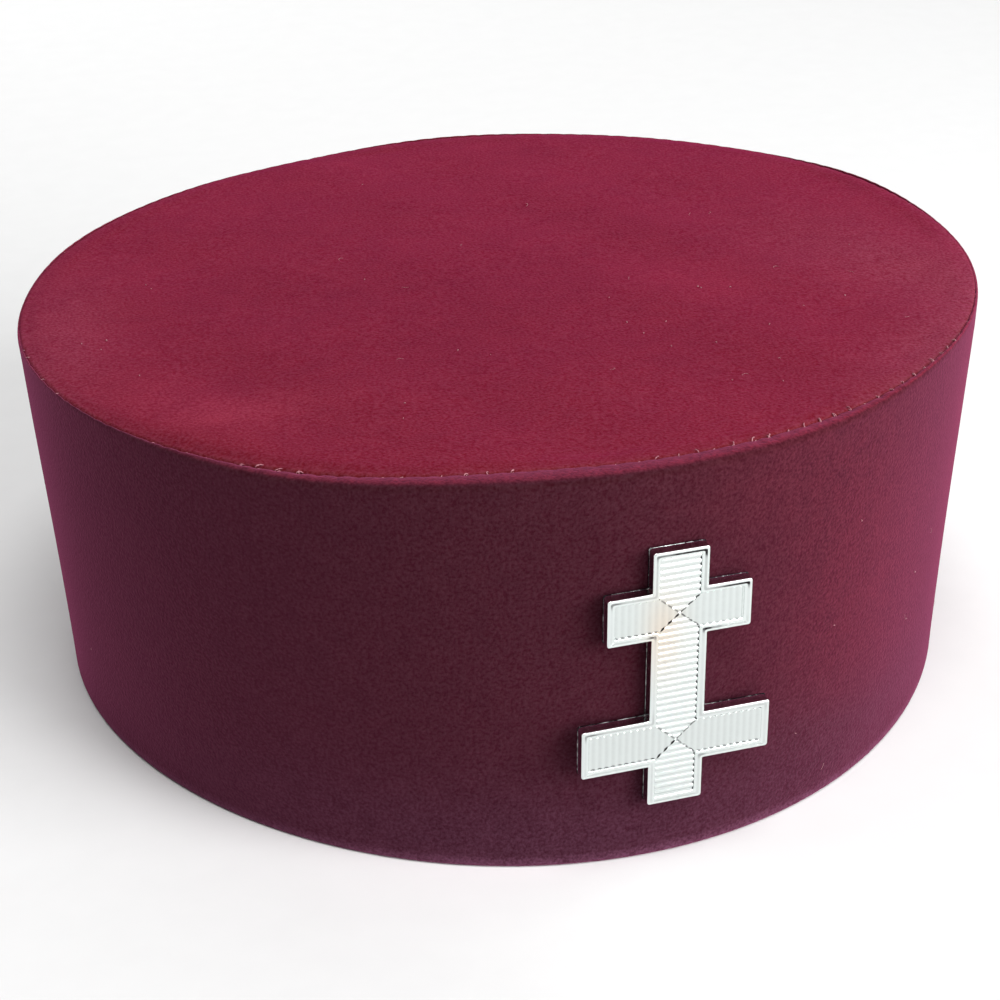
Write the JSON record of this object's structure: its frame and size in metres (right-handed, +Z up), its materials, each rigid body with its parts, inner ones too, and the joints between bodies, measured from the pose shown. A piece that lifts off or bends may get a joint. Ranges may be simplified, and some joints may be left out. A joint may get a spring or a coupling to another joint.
{
  "type": "masonic crown cap",
  "caption": "Stiff round velvet cap with an open head hollow, a flat sewn-in crown and a chrome double-barred cross on its front.",
  "frame": {"origin": "on the plane that the rim rests on, under the middle of the whole cap", "axes": "+Z up, from the rim to the crown; -Y is the front, where the cross is; +X is the wearer's left"},
  "size_m": [0.2005, 0.2005, 0.0817],
  "materials": {
    "velvet": "maroon cotton velvet, short upright pile, sewn over a stiff body",
    "chrome": "bright chrome plate over a ribbed field and a smooth border",
    "clip_steel": "plain steel"
  },
  "bodies": {
    "root": {"side_band": "velvet", "crown_top": "velvet", "cross_badge": "chrome", "badge_clip": "clip_steel"}
  },
  "joints": []
}
